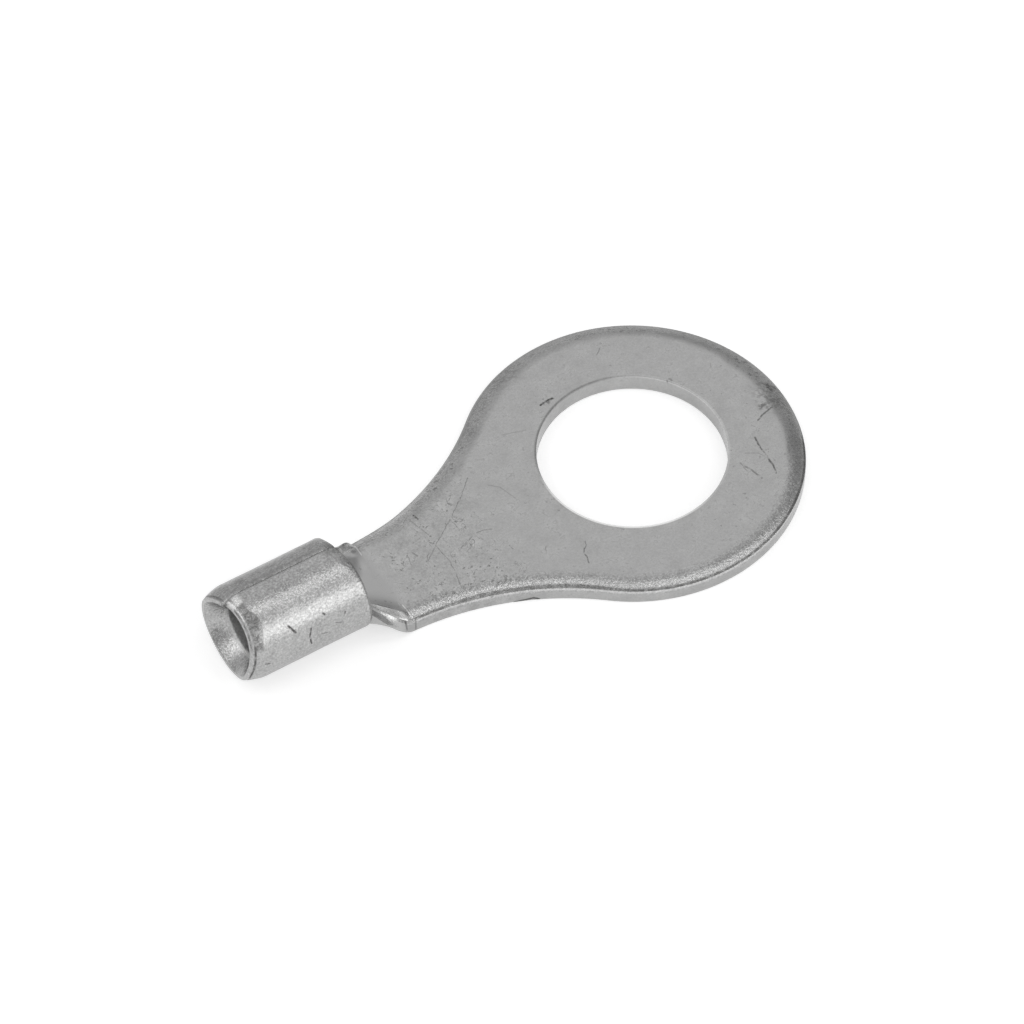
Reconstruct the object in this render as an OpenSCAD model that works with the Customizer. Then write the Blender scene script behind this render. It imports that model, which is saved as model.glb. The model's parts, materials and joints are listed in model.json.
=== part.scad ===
/* [Ring] */
// Diameter of the hole that the stud goes through
stud_hole_d = 6.4; // [4.3:0.1:8.4]
// Width of the metal between the stud hole and the rim
ring_band = 2.6; // [1.8:0.1:4]
// Thickness of the sheet
sheet_t = 0.7; // [0.5:0.05:0.9]
// How far in from the sheared rim the rolled shoulder starts
shoulder_w = 0.8; // [0.3:0.05:1.2]
// How far the rolled shoulder falls at the rim
shoulder_drop = 0.16; // [0.05:0.01:0.25]

/* [Neck] */
// Width of the neck where it leaves the hollow curves
neck_w = 3.86; // [3:0.02:4.4]
// Radius of the hollow curve between the ring and the neck
hollow_r = 10; // [6:0.5:14]
// Distance from the stud hole's centre to the bend line
bend_reach = 9.82; // [9:0.02:14]
// Length of the trough between the bend line and the barrel
trough_len = 1.33; // [0.8:0.01:3]
// Angle that each wall of the trough is rolled up through at the barrel
trough_wrap = 85; // [60:1:88]

/* [Barrel] */
// Outside diameter of the barrel
barrel_d = 3.3; // [3:0.1:4]
// Diameter of the wire bore
bore_d = 1.8; // [1.4:0.05:2.2]
// Length of the barrel
barrel_len = 4.5; // [3.5:0.1:8]
// Diameter of the bell mouth at its lip
bell_d = 2.45; // [2.3:0.05:2.6]
// Depth of the bell mouth
bell_depth = 0.7; // [0.3:0.05:1.2]
// Length over which the outside of the mouth rounds in
nose_len = 0.66; // [0.3:0.02:1.2]
// How far the outside of the mouth rounds in
nose_drop = 0.19; // [0.05:0.01:0.25]
// Length over which the other end of the barrel rounds in
tail_len = 0.2; // [0.1:0.01:0.5]
// How far the other end of the barrel rounds in
tail_drop = 0.06; // [0.02:0.01:0.12]

/* [Cut ends] */
// Angle that the upper part of the mouth leans back
mouth_lean = 16; // [0:1:25]
// Angle that the leaning part of the mouth is turned about the upright
mouth_turn = 7; // [-12:1:12]
// Height above the barrel's axis where the mouth starts to lean
mouth_lean_h = 0.2; // [-0.5:0.05:1]
// Angle that the upper part of the barrel's other end leans back
tail_lean = 6; // [0:1:15]
// Angle that the leaning part of the other end is turned about the upright
tail_turn = 8; // [-12:1:12]
// Height above the barrel's axis where the other end starts to lean
tail_lean_h = 0.55; // [0:0.05:1]

/* [Seam] */
// Angle from the top of the barrel to the seam
seam_turn = 12; // [-30:1:30]
// Width of the seam at the skin
seam_w = 0.1; // [0.04:0.02:0.2]
// Depth of the seam
seam_depth = 0.2; // [0.1:0.05:0.4]
// Length of the notch where the two corners meet at the mouth
notch_len = 0.3; // [0.1:0.05:0.6]
// Width of the notch where the two corners meet at the mouth
notch_w = 0.24; // [0.1:0.02:0.5]

/* [Hidden] */
$fn = 96;

// Clear distance that a cutting shape runs past what it cuts
over = 1;
// Angle that the shoulder along a hollow curve runs on past the ring's, to meet it
roll_meet = 1;
// How far the trough's two ends run into the plate and the barrel
plug = 0.15;
// How far the trough's skin lies inside the plate's skin
lap = 0.005;
// How far the trough's skin lies inside the barrel's skin
tail_step = 0.04;

ring_r = stud_hole_d / 2 + ring_band;
barrel_r = barrel_d / 2;
bore_r = bore_d / 2;
// The barrel's underside lies level with the underside of the plate
axis_z = barrel_r;
tail_x = -bend_reach - trough_len;
mouth_x = tail_x - barrel_len;

// Centre of the hollow curve that touches the ring and the side of the neck
hollow_y = neck_w / 2 + hollow_r;
hollow_x = -sqrt(pow(ring_r + hollow_r, 2) - pow(hollow_y, 2));
// Angle at the ring's centre between the neck and the point where the curves touch
touch_ang = atan2(hollow_y, -hollow_x);
touch_x = -ring_r * cos(touch_ang);
touch_y = ring_r * sin(touch_ang);
// The neck is drawn past the bend line, and past the hollow curves' lowest points,
// before it is cut off at the bend line
neck_stock_x = min(hollow_x, -bend_reach) - over;

// Half the width of the neck at x
function neck_half(x) =
    x < hollow_x ? neck_w / 2 : hollow_y - sqrt(pow(hollow_r, 2) - pow(x - hollow_x, 2));

// A rolled edge is an arc that leaves the skin at a shallow angle, w in from the
// edge, and ends at the edge, drop below the skin
function roll_chord_ang(w, drop) = atan(drop / w);
function roll_start_ang(w, drop) = roll_chord_ang(w, drop) / 4;
function roll_r(w, drop) =
    norm([w, drop]) / 2 / sin(roll_chord_ang(w, drop) - roll_start_ang(w, drop));
function roll_centre(w, drop) =
    [-w, 0] - roll_r(w, drop) * [sin(roll_start_ang(w, drop)), cos(roll_start_ang(w, drop))];

// How far the skin has fallen at a distance in from the edge
function roll_fall(w, drop, from_edge) =
    from_edge >= w ? 0
    : -roll_centre(w, drop).y
      - sqrt(pow(roll_r(w, drop), 2) - pow(from_edge + roll_centre(w, drop).x, 2));

// What a rolled edge takes off, with the edge at x = 0 and the skin at y = 0
module roll_waste(w, drop) {
    difference() {
        translate([roll_centre(w, drop).x, -2 * drop])
            square([over - roll_centre(w, drop).x, 2 * drop + over]);
        translate(roll_centre(w, drop))
            circle(roll_r(w, drop));
    }
}

// ---- Plate: the ring and the flat part of the neck ----

module plate_outline() {
    circle(ring_r);
    difference() {
        polygon([
            [touch_x, -touch_y],
            [touch_x, touch_y],
            [hollow_x, neck_w / 2],
            [neck_stock_x, neck_w / 2],
            [neck_stock_x, -neck_w / 2],
            [hollow_x, -neck_w / 2]
        ]);
        for (side = [-1, 1])
            translate([hollow_x, side * hollow_y])
                circle(hollow_r);
        translate([neck_stock_x - over, -neck_w])
            square([-bend_reach - neck_stock_x + over, 2 * neck_w]);
    }
}

// The shoulder that shearing leaves on the upper edge: round the ring, along both
// hollow curves, and along any straight stretch of the neck
module shoulder_waste() {
    rotate([0, 0, touch_ang - 180])
        rotate_extrude(angle = 360 - 2 * touch_ang)
            translate([ring_r, sheet_t])
                roll_waste(shoulder_w, shoulder_drop);
    for (flip = [0, 1])
        mirror([0, flip, 0]) {
            translate([hollow_x, hollow_y, 0])
                rotate([0, 0, -90])
                    rotate_extrude(angle = 90 - touch_ang + roll_meet)
                        translate([hollow_r, sheet_t])
                            mirror([1, 0])
                                roll_waste(shoulder_w, shoulder_drop);
            if (hollow_x > -bend_reach)
                translate([-bend_reach - over, neck_w / 2, sheet_t])
                    rotate([90, 0, 90])
                        linear_extrude(hollow_x + bend_reach + over)
                            roll_waste(shoulder_w, shoulder_drop);
        }
}

module plate() {
    difference() {
        linear_extrude(sheet_t)
            plate_outline();
        shoulder_waste();
        translate([0, 0, -over])
            cylinder(d = stud_hole_d, h = sheet_t + 2 * over);
    }
}

// ---- Trough: the sheet rolls up from flat at the bend line to a U at the barrel ----

// Steps along the trough, and from its middle to each wall's cut edge
STEPS_ALONG = 14;
STEPS_ACROSS = 12;

trough_end_r = barrel_r - tail_step - sheet_t / 2;
trough_end_half = trough_end_r * trough_wrap * PI / 180;

// s runs from 0 at the barrel to 1 at the bend line. The walls' angle falls evenly,
// and the sheet keeps its width, measured along its middle layer
function trough_x(s) = tail_x + s * trough_len;
function trough_angle(s) = trough_wrap * (1 - s);
function trough_half(s) =
    (1 - s) * trough_end_half + s * (neck_half(-bend_reach) - lap);
function trough_floor(s) = sheet_t / 2 + (1 - s) * tail_step;

// A point of the middle layer at v from its middle, moved by lift along its normal
function rolled(s, v, lift) =
    trough_angle(s) < 0.01
    ? [v, trough_floor(s) + lift]
    : let (r = trough_half(s) / (trough_angle(s) * PI / 180))
      let (ang = v / r * 180 / PI)
      [(r - lift) * sin(ang), trough_floor(s) + r - (r - lift) * cos(ang)];

// Steps crowd towards the cut edges, where the shoulder curves
function across(s, k) = trough_half(s) * sin(90 * k / STEPS_ACROSS);
function upper_lift(s, k) =
    sheet_t / 2 - lap
    - roll_fall(shoulder_w, shoulder_drop, trough_half(s) - abs(across(s, k)));
function lower_lift() = lap - sheet_t / 2;

// One closed ring of points round the sheet's section, at x
function section(s, x) = [
    for (k = [-STEPS_ACROSS : STEPS_ACROSS])
        let (p = rolled(s, across(s, k), upper_lift(s, k)))
        [x, p.x, p.y],
    for (k = [STEPS_ACROSS : -1 : -STEPS_ACROSS])
        let (p = rolled(s, across(s, k), lower_lift()))
        [x, p.x, p.y]
];

// Skin over a stack of rings of points, with a flat cap at each end
module loft(rings) {
    count = len(rings[0]);
    half = count / 2;
    last = (len(rings) - 1) * count;
    polyhedron(
        points = [for (ring = rings) for (p = ring) p],
        faces = [
            for (i = [0 : len(rings) - 2])
                for (j = [0 : count - 1])
                    let (a = i * count + j)
                    let (b = i * count + (j + 1) % count)
                    each [[a, b + count, a + count], [a, b, b + count]],
            for (j = [0 : half - 2])
                let (k = count - 1 - j)
                each [[j, k, j + 1], [j + 1, k, k - 1]],
            for (j = [0 : half - 2])
                let (k = count - 1 - j)
                each [
                    [last + j + 1, last + k, last + j],
                    [last + k - 1, last + k, last + j + 1]
                ]
        ]
    );
}

module trough() {
    loft([
        section(0, tail_x - plug),
        for (i = [0 : STEPS_ALONG])
            section(i / STEPS_ALONG, trough_x(i / STEPS_ALONG)),
        section(1, -bend_reach + plug)
    ]);
}

// ---- Barrel: two flaps rolled round until their edges meet along the seam ----

// Puts its children on the barrel's axis, with Z along it and the origin at x
module on_axis(x) {
    translate([x, 0, axis_z])
        rotate([0, 90, 0])
            children();
}

// What lies beyond a plane that leans and turns about a point above the axis
module beyond_lean(x, height, lean, turn) {
    reach = 4 * barrel_r;
    translate([x, 0, axis_z + height])
        rotate([0, 0, turn])
            rotate([0, lean, 0])
                translate([-reach, -reach, -reach])
                    cube([reach, 2 * reach, 2 * reach]);
}

// Where the seam comes out at the mouth
seam_y = barrel_r * sin(seam_turn);
seam_h = barrel_r * cos(seam_turn);
seam_mouth_x = mouth_x - seam_y * tan(mouth_turn)
    + max(0, seam_h - mouth_lean_h) * tan(mouth_lean) / cos(mouth_turn);

module seam_waste() {
    translate([0, 0, axis_z])
        rotate([-seam_turn, 0, 0]) {
            translate([mouth_x - over, 0, 0])
                rotate([90, 0, 90])
                    linear_extrude(barrel_len + 2 * over)
                        polygon([
                            [0, barrel_r - seam_depth],
                            [seam_w, barrel_r + seam_depth],
                            [-seam_w, barrel_r + seam_depth]
                        ]);
            translate([seam_mouth_x + notch_len, 0, 0])
                linear_extrude(barrel_r + over)
                    polygon([
                        [0, 0],
                        [-4 * notch_len, 2 * notch_w],
                        [-4 * notch_len, -2 * notch_w]
                    ]);
        }
}

module barrel() {
    difference() {
        on_axis(mouth_x)
            cylinder(r = barrel_r, h = barrel_len);
        on_axis(mouth_x)
            rotate_extrude()
                translate([barrel_r, 0])
                    rotate(-90)
                        roll_waste(nose_len, nose_drop);
        on_axis(tail_x)
            rotate_extrude()
                translate([barrel_r, 0])
                    mirror([0, 1])
                        rotate(-90)
                            roll_waste(tail_len, tail_drop);
        beyond_lean(mouth_x, mouth_lean_h, mouth_lean, mouth_turn);
        translate([2 * tail_x, 0, 0])
            mirror([1, 0, 0])
                beyond_lean(tail_x, tail_lean_h, tail_lean, -tail_turn);
        seam_waste();
    }
}

module wire_bore() {
    on_axis(mouth_x - over)
        cylinder(d = bore_d, h = barrel_len + over + plug);
    on_axis(mouth_x)
        cylinder(d1 = bell_d, d2 = bore_d, h = bell_depth);
}

module terminal() {
    color([0.72, 0.72, 0.71])
        difference() {
            union() {
                plate();
                trough();
                barrel();
            }
            wire_bore();
        }
}

terminal();
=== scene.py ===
"""A bare ring terminal: one piece of tin-plated copper, sheared, rolled and laid on its face.

The solid's sizes come from the frame. The skin is drawn again over them as one fine mesh, with
the rolled shoulder, the butted seam, the bell mouth and the trough as a press leaves them, and
the plating is a procedural metal.
"""
import json
from math import atan2, cos, hypot, pi, radians, sin, sqrt, tan

import bmesh
import bpy
from mathutils import Matrix, Vector, noise


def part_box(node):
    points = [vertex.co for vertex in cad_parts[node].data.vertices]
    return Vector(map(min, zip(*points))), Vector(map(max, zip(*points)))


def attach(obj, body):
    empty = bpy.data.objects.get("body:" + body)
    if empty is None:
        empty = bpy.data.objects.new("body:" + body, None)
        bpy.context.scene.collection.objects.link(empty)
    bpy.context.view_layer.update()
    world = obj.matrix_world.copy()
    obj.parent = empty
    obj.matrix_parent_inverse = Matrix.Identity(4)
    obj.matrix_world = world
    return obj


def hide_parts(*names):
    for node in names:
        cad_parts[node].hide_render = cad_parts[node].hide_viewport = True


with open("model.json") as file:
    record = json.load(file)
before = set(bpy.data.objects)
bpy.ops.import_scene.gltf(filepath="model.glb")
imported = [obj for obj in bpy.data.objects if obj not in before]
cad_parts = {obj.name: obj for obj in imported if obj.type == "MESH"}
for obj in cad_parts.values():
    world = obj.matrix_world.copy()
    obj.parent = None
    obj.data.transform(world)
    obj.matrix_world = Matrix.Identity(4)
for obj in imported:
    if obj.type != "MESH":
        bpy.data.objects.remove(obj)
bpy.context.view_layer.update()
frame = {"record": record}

MM = 0.001

# ---- Sizes that the frame gives, in millimetres ----

LOW, HIGH = (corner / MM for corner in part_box("terminal"))
MOUNT = {mount["name"]: mount for mount in frame["record"]["mounts"]}
STUD_R = MOUNT["stud_hole"]["dims"]["r_mm"]
SHEET_T = MOUNT["stud_hole"]["dims"]["length_mm"]
BORE_R = MOUNT["wire_barrel"]["dims"]["r_mm"]
BORE_X = MOUNT["wire_barrel"]["pos_m"][0] / MM
AXIS_Z = MOUNT["wire_barrel"]["pos_m"][2] / MM
TAIL_X = BORE_X + MOUNT["wire_barrel"]["dims"]["length_mm"]
MOUTH_X = LOW.x
RING_R = HIGH.x
BARREL_R = AXIS_Z

# ---- Sizes of the press work ----

BEND_X = -9.82
NECK_HALF = 1.93
HOLLOW_R = 10.0
# How far the sharp edges of the sheet are eased
EDGE_R = 0.03
# A rolled edge is how wide it is, how far it falls at its end, and how fast it steepens.
# The die bit deeper on the ring's far side than on its near side, and less at the bend line
SHOULDER_NEAR = (0.52, 0.15, 2.0)
SHOULDER_FAR = (0.9, 0.4, 2.0)
FAR_WAY = radians(58)
FAR_AT_BEND = 0.5

# The trough's walls roll up through this angle at the barrel, slowly at first, round a floor
# that starts out flat. It stands a step higher there and runs on a little into the barrel
TROUGH_WRAP = radians(85)
ROLL_POWER = 1.3
TROUGH_FLAT = 0.2
TROUGH_STEP = 0.04
PLUG = 0.15
# The metal crowds up into a ridge inside the near wall's edge, and into an ear on the far wall
RIDGE = 0.11
RIDGE_IN = 0.3
EAR = 0.22
EAR_IN = 0.3
EAR_LEN = 0.3
EAR_X = BEND_X - EAR_LEN

BELL_R = 1.33
BELL_END = BORE_X - 0.05
# The barrel's two ends are rounded in: at the mouth below and on either flap, and at the tail
NOSE_LOW = (0.66, 0.19, 1.7)
NOSE_HIGH = (0.42, 0.13, 1.5)
NOSE_FAR = (0.6, 0.23, 1.6)
TAIL_NEAR = (0.1, 0.03, 1.5)
TAIL_TOP = (0.34, 0.09, 1.6)
# Each cut end leans back above a height, and the leaning part is turned about the upright
MOUTH_LEAN = radians(16)
MOUTH_TURN = radians(7)
MOUTH_LEAN_Z = AXIS_Z + 0.2
TAIL_LEAN = radians(6)
TAIL_TURN = radians(8)
TAIL_LEAN_Z = AXIS_Z + 0.55
LEAN_BLEND = 0.04
# The far flap's cut end stands this far proud of the near flap's
FAR_FLAP_STEP = 0.1
# The near flap's corner at the mouth is struck flat
CORNER_CUT = 0.04
CORNER_LEN = 0.5
SEAM_ANG = radians(78)
SEAM_GAP = 0.004
SEAM_ROLL = (0.1, 0.035, 2.0)
# The barrel stands a hair askew on the tongue
SKEW_MOUTH = 0.045
SKEW_TAIL = -0.03

# Centre of the hollow curve that touches the ring and the neck's side
HOLLOW_Y = NECK_HALF + HOLLOW_R
HOLLOW_X = -sqrt((RING_R + HOLLOW_R) ** 2 - HOLLOW_Y**2)
TOUCH_ANG = atan2(HOLLOW_Y, HOLLOW_X)


def lerp(a, b, t):
    return a + (b - a) * t


def clamp(value, low=0.0, high=1.0):
    return max(low, min(high, value))


def smooth(t):
    t = clamp(t)
    return t * t * (3 - 2 * t)


def soft_max(a, b, blend):
    return (a + b + sqrt((a - b) ** 2 + blend * blend)) / 2


def roll_fall(from_edge, shape):
    """How far a rolled edge has fallen, at a distance in from it."""
    width, drop, power = shape
    return drop * clamp(1 - from_edge / width) ** power


def blend_shape(first, second, t):
    return tuple(lerp(a, b, t) for a, b in zip(first, second))


def wave(point, length, size):
    """A smooth unevenness: from 0 to size, over about that length."""
    return size * (0.5 + 0.5 * noise.noise(Vector(point) / length))


# ---- How finely the skin is drawn ----

FACE_STEPS = 14
SHOULDER_STEPS = 20
SIDE_STEPS = 4
UNDER_STEPS = 12
WALL_STEPS = 8
RING_STEPS = 170
HOLLOW_STEPS = 90
BEND_STEPS = 80
TROUGH_STEPS = 40
# Round the barrel: steps in the crowded stretch at each side of the seam, and in the rest
CROWD_STEPS = 16
CROWD_ANG = 0.45
ROUND_STEPS = 150


# ---- Skin: points and faces gathered from grids ----

class Skin:
    def __init__(self):
        self.points = []
        self.faces = []

    def loft(self, rings, closed=False, skip=None):
        """Faces over a stack of closed rings of points, without those that skip(stack, place) names."""
        base = len(self.points)
        count = len(rings[0])
        stacks = len(rings)
        for ring in rings:
            self.points.extend(Vector(point) * MM for point in ring)
        for i in range(stacks if closed else stacks - 1):
            here = base + i * count
            there = base + (i + 1) % stacks * count
            for j in range(count):
                k = (j + 1) % count
                if not (skip and skip(i, j)):
                    self.faces.append((here + j, here + k, there + k, there + j))
        return base

    def cap(self, start, count):
        """A strip of faces across a ring whose second half runs back along its first."""
        for j in range(count // 2 - 1):
            k = count - 1 - j
            self.faces.append((start + j, start + j + 1, start + k - 1, start + k))

    def build(self, name):
        mesh = bpy.data.meshes.new(name)
        mesh.from_pydata(self.points, [], self.faces)
        work = bmesh.new()
        work.from_mesh(mesh)
        bmesh.ops.remove_doubles(work, verts=work.verts, dist=0.003 * MM)
        loose = [vert for vert in work.verts if not vert.link_faces]
        bmesh.ops.delete(work, geom=loose, context="VERTS")
        bmesh.ops.recalc_face_normals(work, faces=work.faces)
        work.to_mesh(mesh)
        work.free()
        return mesh


# ---- Plate: the ring and the flat part of the neck ----

def neck_half(x):
    if x < HOLLOW_X:
        return NECK_HALF
    return HOLLOW_Y - sqrt(HOLLOW_R**2 - (x - HOLLOW_X) ** 2)


BEND_HALF = neck_half(BEND_X)
BEND_ANG = atan2(BEND_HALF, BEND_X)


def outline_reach(ang):
    """Distance from the stud hole's centre to the plate's outline, towards ang."""
    side = abs(atan2(sin(ang), cos(ang)))
    if side <= TOUCH_ANG:
        return RING_R
    if side >= BEND_ANG:
        return BEND_X / cos(side)
    # Where the ray meets the hollow curve, on its near side
    along = HOLLOW_X * cos(side) + HOLLOW_Y * sin(side)
    return along - sqrt(along**2 - HOLLOW_X**2 - HOLLOW_Y**2 + HOLLOW_R**2)


def from_outline(x, y):
    """Distance in from the sheared outline, and the way that the outline faces there."""
    ang = atan2(y, x)
    if abs(ang) <= TOUCH_ANG:
        return RING_R - hypot(x, y), ang
    flip = 1 if y > 0 else -1
    away_x = HOLLOW_X - x
    away_y = flip * HOLLOW_Y - y
    return hypot(away_x, away_y) - HOLLOW_R, atan2(away_y, away_x)


def shoulder(x, y, facing):
    """The rolled shoulder's shape: deep on the far side, and shallow towards the bend line."""
    far = smooth((cos(facing - FAR_WAY) + 0.5) / 0.9) * lerp(FAR_AT_BEND, 1, smooth((x - BEND_X) / 2))
    width, drop, power = blend_shape(SHOULDER_NEAR, SHOULDER_FAR, far)
    return width * (0.88 + wave((x, y, 3), 1.1, 0.24)), drop, power


def plate_top(x, y):
    """Height of the upper face, rolled down at the outline and a little uneven inside it."""
    from_edge, facing = from_outline(x, y)
    even = smooth((x - BEND_X) / 1.5) * smooth((from_edge - 0.1) / 0.5)
    fall = roll_fall(from_edge, shoulder(x, y, facing))
    return SHEET_T - fall - even * wave((x, y, 0), 2.2, 0.008)


def out_of_outline(ang):
    """The direction straight out of the outline at a ray's end."""
    side = atan2(sin(ang), cos(ang))
    if abs(side) <= TOUCH_ANG:
        return Vector((cos(side), sin(side)))
    reach = outline_reach(side)
    flip = 1 if side > 0 else -1
    away = Vector((HOLLOW_X - reach * cos(side), flip * HOLLOW_Y - reach * sin(side)))
    return away.normalized()


def plate_section(ang, at_bend):
    """The plate's section along one ray from the stud hole's centre, as a closed ring of points.

    A ray that ends inside the bend line has no side there, because the trough goes on from it.
    """
    reach = outline_reach(ang)
    along = Vector((cos(ang), sin(ang)))
    rim = Vector((0, 0)) if at_bend else out_of_outline(ang)
    end = along * reach
    ring = []

    def top(spot):
        ring.append((spot.x, spot.y, plate_top(spot.x, spot.y)))

    # Stud hole's rim and the upper face
    for turn in (0.0, 0.5):
        r = STUD_R + EDGE_R * (1 - cos(turn * pi / 2))
        ring.append((along.x * r, along.y * r, SHEET_T - EDGE_R * (1 - sin(turn * pi / 2))))
    inner = STUD_R + EDGE_R
    start = max(lerp(inner, reach, 0.3), reach - 1.3 * SHOULDER_FAR[0])
    for i in range(FACE_STEPS):
        top(along * lerp(inner, start, i / FACE_STEPS))
    for i in range(SHOULDER_STEPS):
        top(lerp(along * start, end - rim * EDGE_R, i / SHOULDER_STEPS))
    ring.extend(rim_points(end, rim, plate_top(end.x, end.y)))
    # Underside and the hole's wall
    for i in range(UNDER_STEPS):
        spot = lerp(end - rim * EDGE_R, along * inner, (i + 1) / UNDER_STEPS)
        ring.append((spot.x, spot.y, 0.0))
    for i in range(WALL_STEPS):
        t = (i + 0.5) / WALL_STEPS
        r = STUD_R + EDGE_R * (1 - smooth(min(t, 1 - t) / 0.06))
        ring.append((along.x * r, along.y * r, SHEET_T * t))
    return ring


def rim_points(end, rim, height):
    """Points down a sheared side, with both of its edges eased."""
    points = []
    for turn in (0.0, 0.5, 1.0):
        spot = end - rim * EDGE_R * (1 - sin(turn * pi / 2))
        points.append((spot.x, spot.y, height - EDGE_R * (1 - cos(turn * pi / 2))))
    for i in range(1, SIDE_STEPS):
        points.append((end.x, end.y, lerp(height - EDGE_R, EDGE_R, i / SIDE_STEPS)))
    for turn in (1.0, 0.5, 0.0):
        spot = end - rim * EDGE_R * (1 - sin(turn * pi / 2))
        points.append((spot.x, spot.y, EDGE_R * (1 - cos(turn * pi / 2))))
    return points


def bend_columns():
    """Places across the bend line, crowded towards the neck's sides, where the shoulder curves."""
    inner = BEND_HALF - 2 * EDGE_R
    swing = radians(75)
    turns = [lerp(swing, -swing, i / BEND_STEPS) for i in range(BEND_STEPS + 1)]
    return [inner * sin(turn) / sin(swing) for turn in turns]


def plate_rays():
    """Rays round the hole: each is an angle, and whether it ends inside the bend line."""
    rays = []
    for side in (-1, 1):
        hollow = [lerp(BEND_ANG, TOUCH_ANG, i / HOLLOW_STEPS) for i in range(HOLLOW_STEPS)]
        rays.append([(side * ang, False) for ang in hollow])
    near, far = rays
    ring = [(lerp(-TOUCH_ANG, TOUCH_ANG, i / RING_STEPS), False) for i in range(RING_STEPS + 1)]
    bend = [(atan2(y, BEND_X), True) for y in bend_columns()]
    return near + ring + far[::-1] + bend


# ---- Trough: the sheet rolls up from flat at the bend line to a U at the barrel ----

TROUGH_R = BARREL_R - TROUGH_STEP - SHEET_T / 2
TROUGH_HALF = TROUGH_R * TROUGH_WRAP


def trough_curve(s):
    """The trough's section: half its width along the sheet, half of its flat floor, and its radius.

    The floor stays flat for longest next to the bend line, and is all curve at the barrel.
    """
    half = lerp(TROUGH_HALF, BEND_HALF, s)
    wrap = max(TROUGH_WRAP * (1 - s) ** ROLL_POWER, 1e-4)
    rise = half / wrap * (1 - cos(wrap))
    turn = wrap * (1 + TROUGH_FLAT * s)
    radius = rise / (1 - cos(turn))
    flat = max(0.0, half - radius * turn)
    return half, flat, (half - flat) / turn


def trough_fall(from_edge, far, s, x):
    """How far the trough's upper face lies below the sheet's face, towards one of its edges."""
    if far:
        shape = blend_shape(SHOULDER_NEAR, SHOULDER_FAR, FAR_AT_BEND)
        ear = EAR * clamp(1 - ((x - EAR_X) / EAR_LEN) ** 2) ** 0.8
        return roll_fall(from_edge, shape) - ear * clamp(1 - from_edge / EAR_IN)
    ridge = RIDGE * smooth((1 - s) / 0.15)
    inside = smooth(1 - (from_edge - RIDGE_IN) / 0.09)
    return roll_fall(from_edge, SHOULDER_NEAR) - ridge * inside * clamp(from_edge / RIDGE_IN)


def trough_section(s, x):
    """The rolled sheet's section, with s from 1 at the bend line to 0 at the barrel."""
    half, flat, radius = trough_curve(s)
    middle = lerp(SHEET_T / 2 + TROUGH_STEP, SHEET_T / 2, s)

    def rolled(v, lift):
        ang = max(0.0, abs(v) - flat) / radius
        y = min(abs(v), flat) + (radius - lift) * sin(ang)
        return (x, y if v > 0 else -y, middle + radius - (radius - lift) * cos(ang))

    columns = [v / BEND_HALF * half for v in bend_columns()]
    top = [rolled(v, SHEET_T / 2 - trough_fall(half - abs(v), v > 0, s, x)) for v in columns]
    under = [rolled(v, -SHEET_T / 2) for v in columns]

    def side(sign):
        height = SHEET_T - trough_fall(0.0, sign > 0, s, x)
        points = rim_points(Vector((half, 0)), Vector((1, 0)), height)
        return [rolled(sign * v, height - SHEET_T / 2) for v, across, height in points]

    return top + side(-1) + under[::-1] + side(1)[::-1]


def trough_sections():
    length = BEND_X - TAIL_X
    shares = [i / TROUGH_STEPS for i in range(TROUGH_STEPS + 1)]
    sections = [trough_section(1 - share, BEND_X - length * share) for share in shares]
    return sections + [trough_section(0, TAIL_X - PLUG)]


# ---- Barrel: two flaps rolled round until their edges meet along the seam ----

def skew(x):
    """How far the barrel's axis stands off the terminal's middle."""
    return lerp(SKEW_MOUTH, SKEW_TAIL, clamp((x - MOUTH_X) / (TAIL_X - MOUTH_X)))


def on_barrel(x, r, ang):
    """A point of the barrel, with ang from the +Y side up towards the top."""
    return (x, r * cos(ang) + skew(x), AXIS_Z + r * sin(ang))


def seam_arc(ang, r):
    """Distance round the skin from the seam, and whether that is on the near flap's side."""
    turn = (ang - SEAM_ANG) % (2 * pi)
    if turn < pi:
        return turn * r, True
    return (2 * pi - turn) * r, False


def mouth_end(ang, r):
    """Where the cut mouth lies: upright below, and leaning back above, less on the far flap."""
    y = r * cos(ang)
    z = AXIS_Z + r * sin(ang)
    lean = (z - MOUTH_LEAN_Z) * tan(MOUTH_LEAN) / cos(MOUTH_TURN) - y * tan(MOUTH_TURN)
    arc, near = seam_arc(ang, r)
    if not near:
        lean -= FAR_FLAP_STEP * (1 - smooth(arc / 3))
    return MOUTH_X + max(0.0, soft_max(0.0, lean, LEAN_BLEND) - LEAN_BLEND / 4)


def tail_end(ang, r):
    """Where the barrel's cut tail lies: upright below, and leaning towards the mouth above."""
    y = r * cos(ang)
    z = AXIS_Z + r * sin(ang)
    lean = (z - TAIL_LEAN_Z) * tan(TAIL_LEAN) / cos(TAIL_TURN) + y * tan(TAIL_TURN)
    return TAIL_X - soft_max(0.0, lean, LEAN_BLEND)


def barrel_skin(x, ang, mouth, tail):
    """The outer radius, with both ends rounded in and the flaps' edges rolled down at the seam."""
    back = clamp((mouth - MOUTH_X) / 0.42)
    arc, near = seam_arc(ang, BARREL_R)
    high = NOSE_HIGH if near else NOSE_FAR
    nose = roll_fall(max(0, x - mouth), blend_shape(NOSE_LOW, high, back))
    top = smooth((cos(ang - radians(88)) - 0.62) / 0.3)
    end = roll_fall(max(0, tail - x), blend_shape(TAIL_NEAR, TAIL_TOP, top))
    seam = roll_fall(arc, SEAM_ROLL)
    corner = CORNER_CUT * clamp(1 - (arc + 0.9 * (x - mouth)) / CORNER_LEN) if near else 0.0
    middle = smooth(min(x - mouth, tail - x) / 0.4)
    uneven = wave((x, 2 * cos(ang), 2 * sin(ang)), 0.9, 0.012) + wave((3 * x, ang, 7), 0.9, 0.004)
    return BARREL_R - max(nose, corner) - end - seam - middle * uneven


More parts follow.
